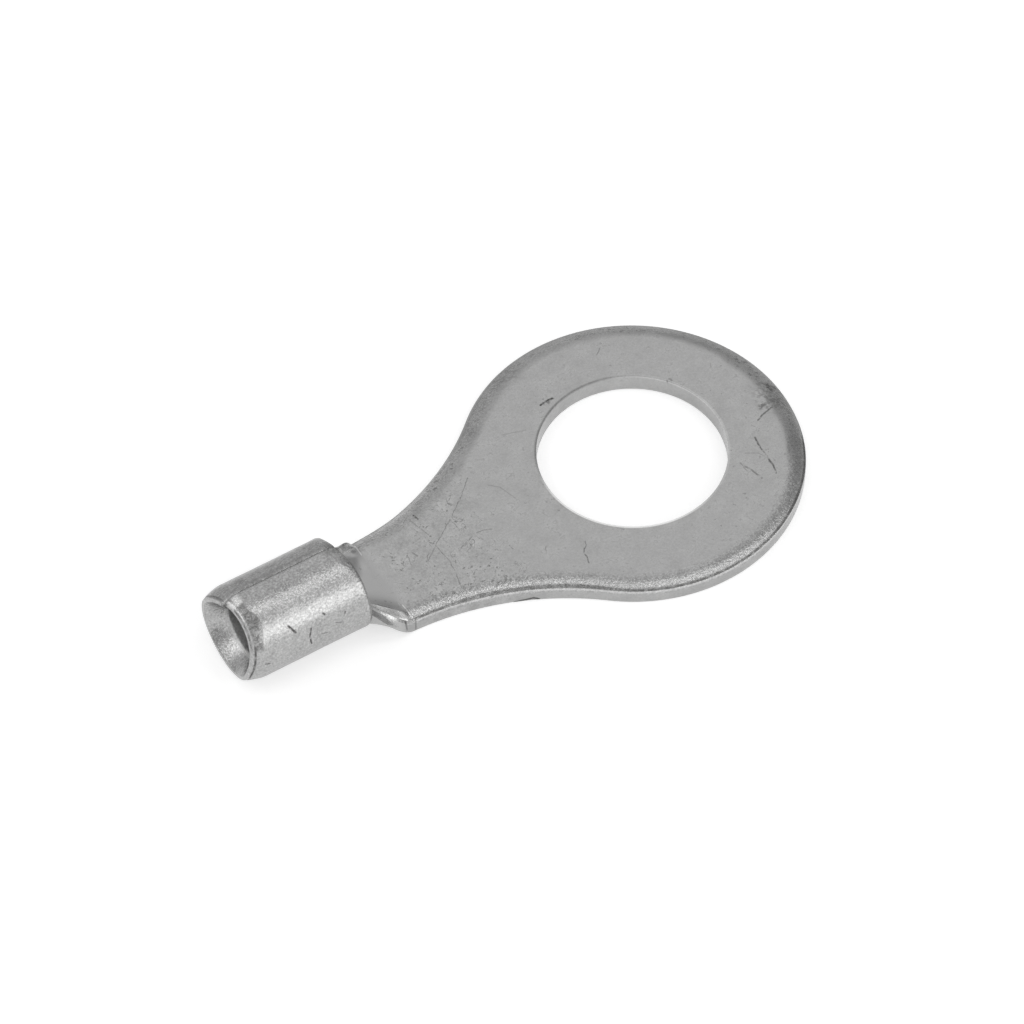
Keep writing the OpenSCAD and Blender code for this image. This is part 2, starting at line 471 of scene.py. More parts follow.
def barrel_bore(x, mouth):
    """The inner radius: straight behind, and opening into the bell towards the mouth."""
    t = clamp((x - mouth) / (BELL_END - mouth))
    return BORE_R + (BELL_R - BORE_R) * (1 - t) * (1 - 0.25 * t)


def barrel_section(ang):
    """The wall's section at one angle: out along the skin from the tail, and back along the bore."""
    outer = []
    inner = []
    skin_mouth = mouth_end(ang, BARREL_R - NOSE_HIGH[1])
    lip_mouth = mouth_end(ang, BELL_R)
    skin_tail = tail_end(ang, BARREL_R)
    bore_tail = tail_end(ang, BORE_R)
    for step in barrel_steps():
        x = lerp(skin_tail, skin_mouth, step)
        outer.append(on_barrel(x, barrel_skin(x, ang, skin_mouth, skin_tail), ang))
        x = lerp(bore_tail, lip_mouth, step)
        inner.append(on_barrel(x, barrel_bore(x, lip_mouth), ang))
    return outer + inner[::-1]


def barrel_steps():
    """Steps from the tail to the mouth, crowded at both ends."""
    steps = [0.02 * i / 4 * (i / 4) for i in range(4)]
    steps += [lerp(0.02, 0.12, i / 7) for i in range(7)]
    steps += [lerp(0.12, 0.8, i / 24) for i in range(24)]
    steps += [lerp(0.8, 0.985, i / 22) for i in range(22)]
    steps += [lerp(0.985, 1.0, i / 4) for i in range(5)]
    return steps


def barrel_angles():
    """Angles all the way round from one seam edge to the other, crowded at the seam."""
    first = SEAM_ANG + SEAM_GAP / 2 / BARREL_R
    last = SEAM_ANG + 2 * pi - SEAM_GAP / 2 / BARREL_R
    whole = last - first
    fine = [CROWD_ANG * (i / CROWD_STEPS) ** 1.3 for i in range(CROWD_STEPS)]
    plain = [lerp(CROWD_ANG, whole - CROWD_ANG, i / ROUND_STEPS) for i in range(ROUND_STEPS + 1)]
    back = [whole - turn for turn in reversed(fine)]
    return [first + turn for turn in fine + plain + back]


# ---- The one piece ----

def add_object(name, data):
    """A new object in the scene that shows a mesh, a lamp or a lens."""
    thing = bpy.data.objects.new(name, data)
    bpy.context.scene.collection.objects.link(thing)
    return thing


def sheet_skin():
    """The ring, the neck and the trough as one closed skin, plugged into the barrel."""
    skin = Skin()
    rays = plate_rays()
    sections = [plate_section(ang, at_bend) for ang, at_bend in rays]
    first_side = 2 + FACE_STEPS + SHOULDER_STEPS
    last_side = first_side + len(rim_points(Vector((0, 0)), Vector((1, 0)), SHEET_T)) - 1

    def inside_bend(i, j):
        bend = rays[i][1] or rays[(i + 1) % len(rays)][1]
        return bend and first_side <= j < last_side

    skin.loft(sections, closed=True, skip=inside_bend)
    sections = trough_sections()
    count = len(sections[0])
    last = skin.loft(sections) + (len(sections) - 1) * count
    skin.faces.append(tuple(last + j for j in range(count)))
    return skin


def barrel_wall():
    """The barrel's wall as a closed skin from one seam edge round to the other."""
    skin = Skin()
    sections = [barrel_section(ang) for ang in barrel_angles()]
    count = len(sections[0])
    start = skin.loft(sections)
    skin.cap(start, count)
    skin.cap(start + (len(sections) - 1) * count, count)
    return skin


def terminal_mesh():
    """The sheet and the barrel joined into one mesh."""
    sheet = add_object("sheet", sheet_skin().build("sheet"))
    barrel = add_object("barrel", barrel_wall().build("barrel"))
    join = sheet.modifiers.new("join", "BOOLEAN")
    join.operation = "UNION"
    join.solver = "EXACT"
    join.object = barrel
    graph = bpy.context.evaluated_depsgraph_get()
    mesh = bpy.data.meshes.new_from_object(sheet.evaluated_get(graph))
    for part in (sheet, barrel):
        bpy.data.objects.remove(part)
    mesh.name = "ring_terminal"
    mesh.shade_smooth()
    mesh.set_sharp_from_angle(angle=radians(38))
    return mesh


# A distance that stands for nowhere near, and how far in from the mouth the bell and bore are deep
FAR_OFF = 9.0
DEEP_AT = 1.2


def wear(point):
    """Where a point lies among the places that wear or stain.

    Gives the distances in from the sheared edge, in from the mouth and round from the seam,
    and how deep the point lies in the bell or the bore.
    """
    x, y, z = point
    if x > BEND_X:
        rim = from_outline(x, y)[0] if z > SHEET_T / 2 else FAR_OFF
        return rim, FAR_OFF, FAR_OFF, 0.0
    if x > TAIL_X:
        half, flat, radius = trough_curve((x - TAIL_X) / (BEND_X - TAIL_X))
        middle = SHEET_T / 2 + radius
        ang = atan2(abs(y) - flat, middle - z) if abs(y) > flat else 0.0
        lift = radius - hypot(max(0.0, abs(y) - flat), middle - z)
        rim = half - flat - ang * radius if lift > 0 else FAR_OFF
        return rim, FAR_OFF, FAR_OFF, 0.0
    across = y - skew(x)
    ang = atan2(z - AXIS_Z, across)
    r = hypot(across, z - AXIS_Z)
    mouth = x - mouth_end(ang, r)
    if r < BELL_R + 0.06 and (r < BORE_R + 0.1 or x < BELL_END):
        return FAR_OFF, FAR_OFF, FAR_OFF, clamp(mouth / DEEP_AT)
    return FAR_OFF, max(0.0, mouth), seam_arc(ang, r)[0], 0.0


def mark_wear(mesh):
    """Keeps each point's place among the worn ones on the mesh, for the plating to read."""
    spots = [wear(vert.co / MM) for vert in mesh.vertices]
    for name, values in zip(("rim", "mouth", "seam", "deep"), zip(*spots)):
        layer = mesh.attributes.new(name, "FLOAT", "POINT")
        layer.data.foreach_set("value", values)


def terminal_piece():
    mesh = terminal_mesh()
    mark_wear(mesh)
    mesh.materials.clear()
    mesh.materials.append(tin_plate())
    piece = add_object("ring_terminal", mesh)
    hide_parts("terminal")
    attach(piece, "root")
    return piece


# ---- Shader maths ----

class Value:
    """A shader socket that takes part in arithmetic, with one Math node for each operation."""

    def __init__(self, shader, socket):
        self.shader = shader
        self.socket = socket

    def math(self, operation, *others):
        terms = dict(enumerate((self, *others)))
        return self.shader.node("ShaderNodeMath", {"operation": operation}, terms)

    def __add__(self, other):
        return self.math("ADD", other)

    def __radd__(self, other):
        return self.math("ADD", other)

    def __sub__(self, other):
        return self.math("SUBTRACT", other)

    def __rsub__(self, other):
        return (self * -1).math("ADD", other)

    def __mul__(self, other):
        return self.math("MULTIPLY", other)

    def __rmul__(self, other):
        return self.math("MULTIPLY", other)

    def __pow__(self, other):
        return self.math("POWER", other)

    def __abs__(self):
        return self.math("ABSOLUTE")

    def least(self, other):
        return self.math("MINIMUM", other)

    def most(self, other):
        return self.math("MAXIMUM", other)

    def clamp(self):
        return self.most(0.0).least(1.0)

    def rise(self, low, high):
        """A smooth step from 0 at low to 1 at high, or the other way where low is the higher."""
        settings = {"interpolation_type": "SMOOTHSTEP", "clamp": True}
        if low < high:
            ends = {"From Min": low, "From Max": high, "To Min": 0.0, "To Max": 1.0}
        else:
            ends = {"From Min": high, "From Max": low, "To Min": 1.0, "To Max": 0.0}
        return self.shader.node("ShaderNodeMapRange", settings, {"Value": self, **ends})


class Shader:
    """The node tree of a material or a world, cleared and built again from calls."""

    def __init__(self, owner):
        owner.use_nodes = True
        self.tree = owner.node_tree
        self.tree.nodes.clear()

    def node(self, kind, settings=None, values=None, output=0):
        """A new node with its settings, then its sockets' values or links; gives one output."""
        node = self.tree.nodes.new(kind)
        for name, setting in (settings or {}).items():
            setattr(node, name, setting)
        for key, value in (values or {}).items():
            if isinstance(value, Value):
                self.tree.links.new(value.socket, node.inputs[key])
            else:
                node.inputs[key].default_value = value
        if not node.outputs:
            return None
        return Value(self, node.outputs[output])

    def axes(self, vector):
        """The three parts of a vector."""
        first = self.node("ShaderNodeSeparateXYZ", None, {0: vector})
        return [Value(self, output) for output in first.socket.node.outputs]

    def place(self):
        """The point on the object, in millimetres."""
        spot = self.node("ShaderNodeTexCoord", output="Object")
        return self.node("ShaderNodeVectorMath", {"operation": "SCALE"}, {0: spot, "Scale": 1 / MM})

    def noise(self, vector, scale, detail=2.0, roughness=0.5, distortion=0.0):
        values = {"Vector": vector, "Scale": scale, "Detail": detail}
        values.update({"Roughness": roughness, "Distortion": distortion})
        return self.node("ShaderNodeTexNoise", None, values)

    def mix(self, mask, first, second):
        """A colour between two others."""
        settings = {"data_type": "RGBA", "blend_type": "MIX"}
        values = {0: mask, 6: first, 7: second}
        return self.node("ShaderNodeMix", settings, values, output=2)


def grey(level, warmth=0.0):
    return (level * (1 + warmth), level, level * (1 - warmth), 1)


# ---- Plating ----

# Scratches and nicks on the upper face: the way each runs, its width and how dark it is
FACE_MARKS = (
    (((-5.22, 2.0), (-5.84, 1.45), (-6.73, 0.78), (-7.52, 0.26), (-8.16, -0.21)), 0.022, 0.5),
    (((-7.97, 0.06), (-8.22, -0.22)), 0.022, 0.5),
    (((-7.61, 0.17), (-7.57, -0.6), (-7.65, -1.13), (-7.82, -1.76)), 0.024, 0.45),
    (((-6.4, -0.13), (-6.82, -0.35)), 0.022, 0.45),
    (((-6.6, -0.2), (-7.07, -0.4)), 0.03, 0.45),
    (((-6.45, -0.39), (-6.89, -0.6)), 0.022, 0.35),
    (((-6.19, -0.1), (-5.97, -0.12), (-5.7, -0.24)), 0.03, 0.45),
    (((-7.55, 1.67), (-7.53, 1.45)), 0.05, 0.9),
    (((-7.76, 1.55), (-7.7, 1.21), (-7.56, 0.68)), 0.03, 0.35),
    (((-8.18, 0.69), (-7.88, 0.74)), 0.03, 0.4),
    (((-8.4, 0.34), (-8.33, 0.14)), 0.04, 0.45),
    (((-8.6, 0.32), (-8.71, -0.1)), 0.022, 0.35),
    (((-1.5, 3.3), (-1.28, 3.36), (-1.0, 3.33)), 0.06, 0.95),
    (((-3.41, -2.33), (-3.47, -2.49), (-3.72, -2.72), (-3.69, -2.89), (-3.79, -3.15)), 0.03, 0.6),
    (((-4.59, -1.81), (-4.75, -2.05)), 0.024, 0.4),
    (((3.74, -1.77), (3.64, -2.22), (3.57, -3.14), (3.46, -3.42)), 0.045, 0.75),
    (((3.08, -2.16), (3.44, -2.39), (3.62, -2.77)), 0.022, 0.35),
    (((2.76, -2.61), (2.86, -2.88), (2.95, -3.34)), 0.05, 0.5),
    (((2.72, -2.43), (2.7, -2.82)), 0.03, 0.4),
    (((4.95, -1.02), (4.48, -1.12), (4.24, -1.23)), 0.05, 0.7),
    (((5.48, 0.04), (5.42, -0.34)), 0.08, 0.8),
    (((1.54, 4.3), (1.29, 4.1)), 0.03, 0.4),
    (((-3.45, -0.77), (-3.43, -0.8)), 0.035, 0.6),
    (((-4.82, 1.38), (-4.53, 1.1), (-4.36, 0.43)), 0.03, 0.25),
    (((-3.28, 2.93), (-2.5, 2.67)), 0.03, 0.25),
)
# Bright lines that the forming die left where the sheet bends
CREASES = (
    (((-9.82, 1.71), (-9.85, 1.19)), 0.03, 1.0),
    (((-9.63, 1.34), (-9.57, 1.0)), 0.02, 0.25),
    (((-9.8, -1.28), (-9.76, -1.89)), 0.035, 1.0),
    (((-9.88, -1.15), (-9.85, -1.8)), 0.02, 0.35),
)
# Fold lines and a nick on the near cut side, along it and up it
SIDE_MARKS = (
    (((-10.07, 0.85), (-10.06, 0.3)), 0.05, 0.55),
    (((-9.72, 0.62), (-9.73, 0.1)), 0.045, 0.45),
    (((-6.4, 0.02), (-6.1, 0.07), (-5.85, 0.12), (-5.7, 0.05)), 0.06, 0.9),
)
# Nicks on the barrel, along it and round it in degrees from the +Y side
BARREL_MARKS = (
    (((-14.0, 142), (-13.85, 153)), 0.055, 1.0),
    (((-13.31, 157), (-13.43, 167), (-13.4, 180)), 0.045, 0.9),
    (((-12.78, 147), (-12.74, 149)), 0.05, 0.9),
    (((-12.05, 158), (-12.1, 160)), 0.05, 0.7),
    (((-12.2, 170), (-12.45, 166)), 0.04, 0.5),
    (((-15.08, 176), (-14.95, 178)), 0.05, 0.7),
    (((-14.95, 183), (-14.85, 186)), 0.05, 0.6),
    (((-13.0, 172), (-12.8, 174)), 0.035, 0.5),
    (((-11.9, 181), (-11.75, 184)), 0.04, 0.5),
)
# Blots of stain: each is a centre, a radius and how dark it is
BLOTS = (
    ((-15.42, 0.98, 1.02), 0.28, 0.5),
    ((-11.45, 0.2, 3.2), 0.55, 0.45),
    ((-12.0, 1.0, 2.9), 0.6, 0.3),
    ((-14.6, 0.75, 3.0), 0.4, 0.35),
    ((5.3, -0.6, 0.5), 1.0, 0.4),
    ((5.38, -0.16, 0.6), 0.3, 0.8),
    ((4.72, -0.84, 0.7), 0.26, 0.6),
    ((-1.28, 3.34, 0.7), 0.2, 0.8),
    ((2.72, 1.8, 0.7), 0.16, 0.7),
    ((-1.8, 5.2, 0.5), 0.9, 0.3),
)

# Reflecting power of the clean plating, and the colour of what stains it, which also paints the shadow
# lines at the near wall and at the barrel's tail
PLATE_LEVEL = 0.465
STAIN_AND_SHADE_LEVEL = 0.06
# The plating's gloss, and how high its fine and its coarser peel stand
PLATE_ROUGH = 0.15
FINE_PEEL = 0.011
GRAIN_PEEL = 0.014
CREASE_HIGH = 0.006


class Plating:
    """What the plating's looks are worked out from at a point: its place, noises and regions.

    A region is a mask that is 1 inside it. How far a point lies past the bend line, towards the
    barrel, tells the flat plate from the trough.
    """

    def __init__(self, shader):
        spot = shader.place()
        self.x, self.y, self.z = shader.axes(spot)
        self.rim, self.mouth, self.seam, self.deep = (
            shader.node("ShaderNodeAttribute", {"attribute_name": name}, output="Fac")
            for name in ("rim", "mouth", "seam", "deep")
        )
        self.fine = shader.noise(spot, 15.0, detail=3.0, roughness=0.7)
        self.grain = shader.noise(spot, 6.0, detail=4.0, roughness=0.6)
        self.cloud = shader.noise(spot, 1.6, detail=3.0, roughness=0.55)
        self.patch = shader.noise(spot, 0.7, detail=2.0)
        self.hair = shader.noise(spot, 2.6, detail=2.0, roughness=0.6, distortion=1.2)
        self.wobble = self.grain * 0.1 - 0.05

        self.past_bend = BEND_X - self.x
        self.on_face = self.z.rise(0.35, 0.5) * self.past_bend.rise(0.28, 0.08)
        self.neck = self.past_bend.rise(-0.22, -0.82) * self.x.rise(-5.2, -6.6)
        self.before_barrel = self.x.rise(TAIL_X, TAIL_X + 0.05)
        self.near_wall = self.past_bend.rise(0.03, 0.16) * self.before_barrel * self.y.rise(-1.0, -1.2)
        self.crowded = self.past_bend.rise(0.13, 0.48) * self.before_barrel * self.y.rise(-1.2, -1.4)
        self.trough_floor = self.past_bend.rise(-0.22, 0.08) * self.before_barrel * self.rim.rise(0.3, 0.4)
        self.cut_side = self.rim.rise(0.02, 0.0)
        self.on_barrel = self.x.rise(TAIL_X + 0.05, TAIL_X - 0.05)
        self.outside = self.on_barrel * self.mouth.rise(6.0, 5.0)


def stroke(across, along, points, width):
    """A mask for a scratch through some points of the plane of two coordinates."""
    nearest = None
    for (x0, y0), (x1, y1) in zip(points, points[1:]):
        run_x, run_y = x1 - x0, y1 - y0
        length = run_x**2 + run_y**2
        t = ((across - x0) * (run_x / length) + (along - y0) * (run_y / length)).clamp()
        gap_x = across - x0 - t * run_x
        gap_y = along - y0 - t * run_y
        gap = (gap_x * gap_x + gap_y * gap_y) ** 0.5
        nearest = gap if nearest is None else nearest.least(gap)
    return nearest.rise(width, width * 0.3)


def marks(across, along, table, rough):
    """All of a table's marks in one mask, broken up by a noise."""
    strokes = [(stroke(across, along, points, width), dark) for points, width, dark in table]
    return heaviest(strokes) * rough.rise(0.3, 0.55)


def heaviest(layers):
    """The strongest of some masks at each point, each with its weight."""
    weighed = [mask * weight for mask, weight in layers]
    total = weighed[0]
    for layer in weighed[1:]:
        total = total.most(layer)
    return total


def nicks(tin):
    """Scratches and nicks on the face, the near cut side and the barrel."""
    face = marks(tin.x + tin.wobble, tin.y - tin.wobble, FACE_MARKS, tin.grain)
    up_side = tin.z + tin.wobble * 0.3
    side = marks(tin.x + tin.wobble * 0.3, up_side, SIDE_MARKS, tin.grain + 0.2)
    round_marks = [
        ([(x, radians(ang) * BARREL_R) for x, ang in points], width, dark)
        for points, width, dark in BARREL_MARKS
    ]
    turn = (tin.z - AXIS_Z).math("ARCTAN2", tin.y)
    round_skin = turn * BARREL_R + tin.wobble * 0.5
    barrel = marks(tin.x + tin.wobble * 0.5, round_skin, round_marks, tin.grain)
    near_side = tin.y.rise(-NECK_HALF + 0.09, -NECK_HALF + 0.03)
    return heaviest([(face, tin.on_face), (barrel, tin.on_barrel), (side, near_side)])


def shoulder_stain(tin):
    """Specks that gather on the worn shoulders, most of all at the ring's far end."""
    right_end = tin.x.rise(3.0, 5.0) * 0.8
    far_half = tin.y.rise(-3.4, 0.0) * 0.85 + 0.15
    patchy = tin.patch.rise(0.4, 0.6) * 0.7 + 0.3
    worn = tin.rim.rise(0.95, 0.4) * (patchy + right_end) * far_half
    specks = tin.grain.rise(0.54, 0.64)
    return heaviest([(worn, specks), (worn * right_end, tin.fine.rise(0.5, 0.6))])


def edge_stain_and_shadow(tin):
    """A line at each sheared edge, ragged under the near shoulder, and a fainter band in from the far
    side's edge; inside the near wall, a ragged painted shadow line, with some dirt, where its edge ridge
    meets the trough's floor.
    """
    ragged = tin.x.rise(-8.6, -7.8) * tin.x.rise(-3.0, -4.5) * tin.y.rise(-1.0, -2.0)
    edge = (tin.rim - ragged * tin.grain * 0.1).rise(0.11, 0.06) * tin.rim.rise(0.01, 0.03)
    edge = edge * (tin.grain.rise(0.3, 0.55) * 0.6 + 0.4) * (1 - tin.near_wall * 0.8)
    edge = edge * (1 - ragged * tin.fine.rise(0.52, 0.46) * 0.6)
    # Painted shadow, with some dirt: a dark line inside the near wall, where its edge ridge meets the
    # trough's floor
    inner = (tin.rim + tin.wobble * 0.5).rise(0.45, 0.38) * tin.rim.rise(0.28, 0.33)
    inner = tin.near_wall * inner * tin.grain.rise(0.35, 0.5)
    far = tin.rim.rise(0.25, 0.1) * tin.rim.rise(0.0, 0.02) * tin.y.rise(0.5, 1.5)
    far = far * (tin.grain.rise(0.35, 0.6) * 0.6 + 0.4)
    return heaviest([(edge, 0.75), (inner, 0.6), (far, 0.3)])


def barrel_stain_and_shadow(tin):
    """A line behind the lip, a painted shadow line round the tail's cut end, specks on the tail's top, and
    stain along the seam and the far flap beside it.
    """
    behind_lip = (tin.mouth + tin.wobble * 0.4).rise(0.13, 0.09) * tin.mouth.rise(0.03, 0.06)
    lip = tin.outside * behind_lip * tin.z.rise(0.1, 0.9) * (1 - tin.z.rise(2.2, 2.8) * 0.4)
    lip = lip * (tin.grain.rise(0.35, 0.55) * 0.5 + 0.5)
    seam = tin.seam.rise(0.05, 0.02) * (tin.grain.rise(0.3, 0.6) * 0.7 + 0.3)
    far_flap = (tin.seam + tin.wobble * 2).rise(0.3, 0.12)
    far_flap = far_flap * (tin.y - tin.z * 0.3).rise(-0.7, -0.55)
    far_flap = far_flap * (tin.grain.rise(0.38, 0.56) * 0.6 + 0.4)
    # Painted shadow: a dark line round the tail's cut end, where the barrel's end stands proud
    tail = (tin.x + tin.wobble * 0.2).rise(TAIL_X - 0.09, TAIL_X - 0.04)
    tail = tail * tin.on_barrel * tin.z.rise(0.6, 1.4)
    tail_top = (tin.x + tin.wobble + tin.y * 0.1).rise(TAIL_X - 0.35, TAIL_X - 0.25)
    tail_top = tail_top * tin.on_barrel * tin.z.rise(2.2, 2.7) * tin.grain.rise(0.54, 0.64)
    return heaviest([(lip, 0.85), (seam, 0.55), (far_flap, 0.35), (tail, 0.55), (tail_top, 0.5)])


def loose_stain(tin):
    """Specks, hair-thin lines and blots that lie anywhere."""
    specks = tin.grain.rise(0.62, 0.7) * tin.patch.rise(0.45, 0.58)
    hairs = abs(tin.hair - 0.5).rise(0.03, 0.008) * tin.grain.rise(0.42, 0.52) * tin.on_face
    hairs = hairs * (tin.neck + 0.3).least(1.0) * tin.cloud.rise(0.47, 0.58)
    stain = heaviest([(specks, tin.neck * 0.3 + 0.3), (hairs, 0.55)])
    for (x, y, z), size, dark in BLOTS:
        off = ((tin.x - x) ** 2 + (tin.y - y) ** 2 + (tin.z - z) ** 2) ** 0.5
        stain = stain.most(off.rise(size, size * 0.3) * tin.grain.rise(0.42, 0.58) * dark)
    return stain


def struck_band(tin):
    """The rough band behind the lip where the mouth's tool struck the near flap."""
    slant = tin.y.rise(-0.8, -0.3) * 0.18 - tin.z.rise(2.3, 3.1) * 0.25
    behind = (tin.x + slant + tin.wobble * 1.6).rise(BORE_X - 0.04, BORE_X - 0.09)
    high = tin.z.rise(2.2, 2.4) * tin.y.rise(-0.02, -0.16)
    return tin.outside * behind * tin.mouth.rise(0.05, 0.09) * high


def struck_corner(tin):
    """A lighter patch on the near flap's corner, where the same blow struck it flat."""
    corner = tin.outside * tin.z.rise(3.0, 3.15) * tin.y.rise(-0.14, -0.06) * tin.y.rise(0.4, 0.33)
    return corner * (tin.x + tin.wobble).rise(BORE_X + 0.07, BORE_X - 0.03)


def brightness(tin, crease, bore):
    """How much lighter than the plain plating each place is: the crease lines and the struck corner; and
    painted light and shade: lighter deep in the bore, along the near wall and its cut side, on the far
    wall, the far shoulder and the near cut side's top, dimmer where the near wall's cut side glints, and a
    painted highlight round the stud hole's rim with painted shade on its far side.
    """
    # Painted highlight: a lighter strip along the near wall's edge ridge, and the crowded near wall a
    # little lighter
    ridge = tin.past_bend.rise(-0.07, 0.13) * tin.before_barrel * tin.y.rise(-1.0, -1.2)
    ridge = ridge * tin.rim.rise(0.33, 0.28) * tin.rim.rise(0.0, 0.03)
    # Painted fill light on the shaded part of the near wall's cut side, next to the barrel
    painted_fill_light = tin.past_bend.rise(0.38, 0.63) * tin.crowded * tin.cut_side
    painted_fill_light = painted_fill_light * (tin.z + tin.x * 1.2).rise(-11.86, -11.7)
    # Painted shade that dims the glint on the near wall's cut side
    glint = tin.past_bend.rise(0.13, 0.28) * tin.past_bend.rise(0.73, 0.53)
    glint = glint * tin.near_wall * tin.cut_side
    # Painted light on the trough's far wall and on the neck's far shoulder
    far_wall_painted_light = tin.y.rise(0.4, 1.2) * tin.past_bend.rise(0.08, 0.38) * tin.before_barrel
    far_shoulder_painted_light = tin.rim.rise(0.8, 0.5) * tin.y.rise(0.8, 1.5)
    far_shoulder_painted_light = far_shoulder_painted_light * tin.x.rise(-4.0, -5.0) * tin.past_bend.rise(0.08, -0.12)
    # Painted highlight along the top of the neck's near cut side
    side_top_painted_highlight = tin.cut_side * tin.z.rise(0.42, 0.5) * tin.past_bend.rise(-0.02, -0.22)
    side_top_painted_highlight = side_top_painted_highlight * tin.y.rise(-1.0, -2.0)

    # Painted highlight round the top of the stud hole's rim, brightest on its near side, with painted
    # shade on its far side
    from_hole = tin.x * tin.x + tin.y * tin.y
    hole_edge = from_hole.rise((STUD_R + 0.1) ** 2, (STUD_R + 0.04) ** 2) * tin.z.rise(0.6, 0.68)
    lit_part = (tin.x + tin.y).rise(-1.4, -4.2) * 0.5
    shaded_part = (tin.y * 0.82 - tin.x * 0.57).rise(0.8, 2.6) * 0.25
    # The crease lines and the struck corner are lighter; the bore's inside is painted lighter to lift its
    # shade
    marks_and_painted_bore_light = crease * 0.22 + bore * 0.1 + struck_corner(tin) * 0.25
    # Painted light and shade on the near wall, the far wall, the far shoulder and the near cut side's top
    rolled = ridge.most(tin.crowded * 0.15) * 0.45 + painted_fill_light * 0.3 - glint * 0.2
    rolled = rolled + far_wall_painted_light * 0.2 + far_shoulder_painted_light * 0.06 + side_top_painted_highlight * 0.16
    return marks_and_painted_bore_light + rolled + hole_edge * (lit_part + 0.1 - shaded_part)


def tin_plate():
    """Dull electro-tin: a grey metal with a fine orange peel, stained edges, nicks and scratches, and
    painted light and shade.
    """
    material = bpy.data.materials.new("tin_plate")
    shader = Shader(material)
    tin = Plating(shader)
    crease = marks(tin.x, tin.y, CREASES, tin.grain + 0.3) * tin.z.rise(0.35, 0.5)
    # Deep in the bore: rougher, and painted lighter in brightness() to lift the shade inside it
    bore = tin.deep.rise(0.42, 0.5)
    struck = struck_band(tin)
    struck_specks = tin.grain.rise(0.42, 0.54) * 0.35 + tin.fine.rise(0.46, 0.54) * 0.45
    # Stains, with the painted shadow lines at the near wall and the barrel's tail among them
    stain = heaviest([
        (shoulder_stain(tin), 0.45),
        (edge_stain_and_shadow(tin), 1.0),
        (barrel_stain_and_shadow(tin), 1.0),
        (struck, struck_specks),
        (loose_stain(tin), 1.0),
        (nicks(tin), 0.95),
    ])

    # The trough's floor is burnished, and the barrel and the shoulders are the most pitted
    fine = tin.fine - 0.5
    grain = tin.grain - 0.5
    cloud = tin.cloud - 0.5
    pitted = (tin.on_barrel + tin.rim.rise(0.7, 0.4) + tin.crowded).least(1.0)
    pits = fine * (pitted * 0.55 + 0.2 + tin.neck * 0.15 + struck * 0.5)
    pits = pits + grain * (tin.on_barrel * 0.12 + 0.05 + tin.neck * 0.1)
    mottle = cloud * (tin.neck * 0.14 + 0.16)
    level = PLATE_LEVEL - tin.trough_floor * 0.03 + (pits + mottle) * (1 - tin.trough_floor)
    # Lighter marks, and painted light and shade
    level = level + brightness(tin, crease, bore)
    plain = shader.node("ShaderNodeCombineColor", None, {0: level, 1: level, 2: level * 0.995})

    roughness = PLATE_ROUGH + cloud * 0.1 + fine * 0.1 + stain * 0.25 + bore * 0.3
    peel = (fine * FINE_PEEL + grain * GRAIN_PEEL) * (pitted * 0.75 + 0.25 - tin.trough_floor * 0.22)
    height = (peel + crease * CREASE_HIGH) * MM
    normal = shader.node("ShaderNodeBump", None, {"Strength": 1.0, "Distance": 1.0, "Height": height})
    metal = shader.node("ShaderNodeBsdfPrincipled", None, {
        "Base Color": shader.mix(stain, plain, grey(STAIN_AND_SHADE_LEVEL, 0.02)),
        "Metallic": 1.0,
        "Roughness": roughness,
        "Normal": normal,
    })
    shader.node("ShaderNodeOutputMaterial", None, {"Surface": metal})
    return material


# ---- Studio ----

# Each soft box: the way to it, how wide and how long it looks from the terminal in degrees, and
# how bright its face is
SOFT_BOXES = {
    "overhead strip": ((0.32, -0.18, 0.93), 6, 60, 2.1),
    "near softbox": ((0.32, -0.84, 0.44), 70, 28, 0.8),
    "left softbox": ((-0.67, 0.15, 0.72), 46, 28, 1.2),
}
BOX_AWAY = 500
BOX_AIM = Vector((-5, 0, 0))
# How pale the room is, and the paper on the floor; and how much whiter than its shading the
# paper looks to the camera and in the metal
ROOM_PALE = 0.84
FLOOR_PALE = 0.66
FLOOR_HALF = 400
FLOOR_GAP = 0.01
CAMERA_GLOW = 0.52
MIRROR_GLOW = 0.35
# Camera: its lens, its way round, its height and its tilt in degrees, and the point it looks at
LENS = 157.58
CAMERA_TURN = -31.7
CAMERA_RISE = 52.12
CAMERA_ROLL = -1.16
CAMERA_AWAY = 150
CAMERA_AIM = Vector((-4.088, 1.087, -0.952))


def soft_box(name, way, width, length, level):
    """A soft box that looks the same from the terminal wherever it hangs."""
    lamp = bpy.data.lights.new(name, "AREA")
    lamp.shape = "RECTANGLE"
    lamp.size = 2 * BOX_AWAY * MM * tan(radians(width) / 2)
    lamp.size_y = 2 * BOX_AWAY * MM * tan(radians(length) / 2)
    lamp.energy = level * pi * lamp.size * lamp.size_y
    out = Vector(way).normalized()
    light = add_object(name, lamp)
    light.location = (out * BOX_AWAY + BOX_AIM) * MM
    light.rotation_euler = out.to_track_quat("Z", "Y").to_euler()


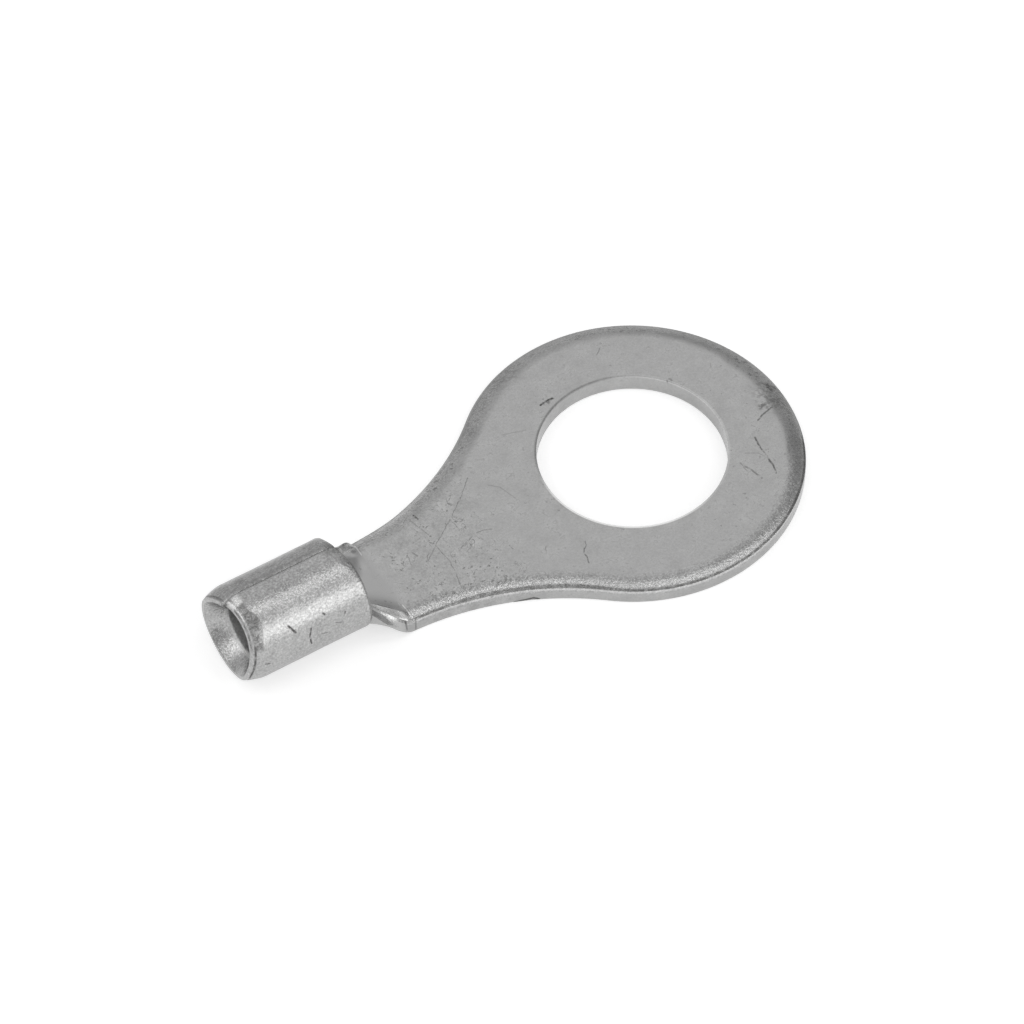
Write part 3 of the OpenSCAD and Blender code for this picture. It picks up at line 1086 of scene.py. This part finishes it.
def studio_world():
    """A pale room, dimmer behind the terminal and to its right, and white to the camera."""
    world = bpy.data.worlds.new("studio")
    shader = Shader(world)
    x, y, z = shader.axes(shader.node("ShaderNodeTexCoord", output="Generated"))
    level = ROOM_PALE - y.rise(0.45, 1.0) * 0.3 + y.rise(-0.4, -0.95) * 0.2
    level = level - x.rise(0.4, 0.75) * 0.28 - x.rise(-0.5, -0.8) * 0.3
    # Two dark flags, which the barrel shows as the dull bands between its bright ones
    level = level - y.rise(0.46, 0.34) * y.rise(-0.05, 0.1) * 0.25
    level = level - y.rise(-0.24, -0.3) * y.rise(-0.48, -0.4) * 0.3
    camera = shader.node("ShaderNodeLightPath", output="Is Camera Ray")
    through = shader.node("ShaderNodeLightPath", output="Is Transmission Ray")
    seen = camera.most(through)
    colour = level * (1 - seen) + seen
    background = shader.node("ShaderNodeBackground", None, {"Color": colour, "Strength": 1.0})
    shader.node("ShaderNodeOutputWorld", None, {"Surface": background})
    bpy.context.scene.world = world


def floor_paper():
    """Pale paper that looks white where nothing shades it, and less so behind the terminal."""
    material = bpy.data.materials.new("floor_paper")
    shader = Shader(material)
    paper = shader.node("ShaderNodeBsdfDiffuse", None, {"Color": grey(FLOOR_PALE)})
    camera = shader.node("ShaderNodeLightPath", output="Is Camera Ray")
    glossy = shader.node("ShaderNodeLightPath", output="Is Glossy Ray")
    through = shader.node("ShaderNodeLightPath", output="Is Transmission Ray")
    x, y, z = shader.axes(shader.place())
    past_ring = ((x * x + y * y) ** 0.5).rise(4.8, 6.2) * (x * 0.53 + y * 0.85).rise(0.0, 2.0)
    front = y.rise(10.0, 4.0) * (1 - past_ring)
    glow = camera * CAMERA_GLOW + glossy.most(through) * front * MIRROR_GLOW
    light = shader.node("ShaderNodeEmission", None, {"Color": glow, "Strength": 1.0})
    both = shader.node("ShaderNodeAddShader", None, {0: paper, 1: light})
    shader.node("ShaderNodeOutputMaterial", None, {"Surface": both})
    return material


def studio_floor():
    half = FLOOR_HALF * MM
    low = (LOW.z - FLOOR_GAP) * MM
    mesh = bpy.data.meshes.new("floor")
    corners = [(-half, -half, low), (half, -half, low), (half, half, low), (-half, half, low)]
    mesh.from_pydata(corners, [], [(0, 1, 2, 3)])
    mesh.materials.append(floor_paper())
    add_object("floor", mesh)


def studio_camera():
    lens = bpy.data.cameras.new("camera")
    lens.sensor_width = 36
    lens.lens = LENS
    lens.clip_start = 0.001
    lens.clip_end = 10
    turn, rise, roll = radians(CAMERA_TURN), radians(CAMERA_RISE), radians(CAMERA_ROLL)
    back = Vector((sin(turn) * cos(rise), -cos(turn) * cos(rise), sin(rise)))
    right = Vector((cos(turn), sin(turn), 0))
    up = back.cross(right)
    right, up = right * cos(roll) + up * sin(roll), up * cos(roll) - right * sin(roll)
    facing = Matrix((right, up, back)).transposed().to_4x4()
    camera = add_object("camera", lens)
    camera.matrix_world = Matrix.Translation((CAMERA_AIM + back * CAMERA_AWAY) * MM) @ facing
    bpy.context.scene.camera = camera


def main():
    bpy.context.scene.view_settings.view_transform = "Standard"
    studio_camera()
    studio_world()
    studio_floor()
    for name, box in SOFT_BOXES.items():
        soft_box(name, *box)
    terminal_piece()


main()
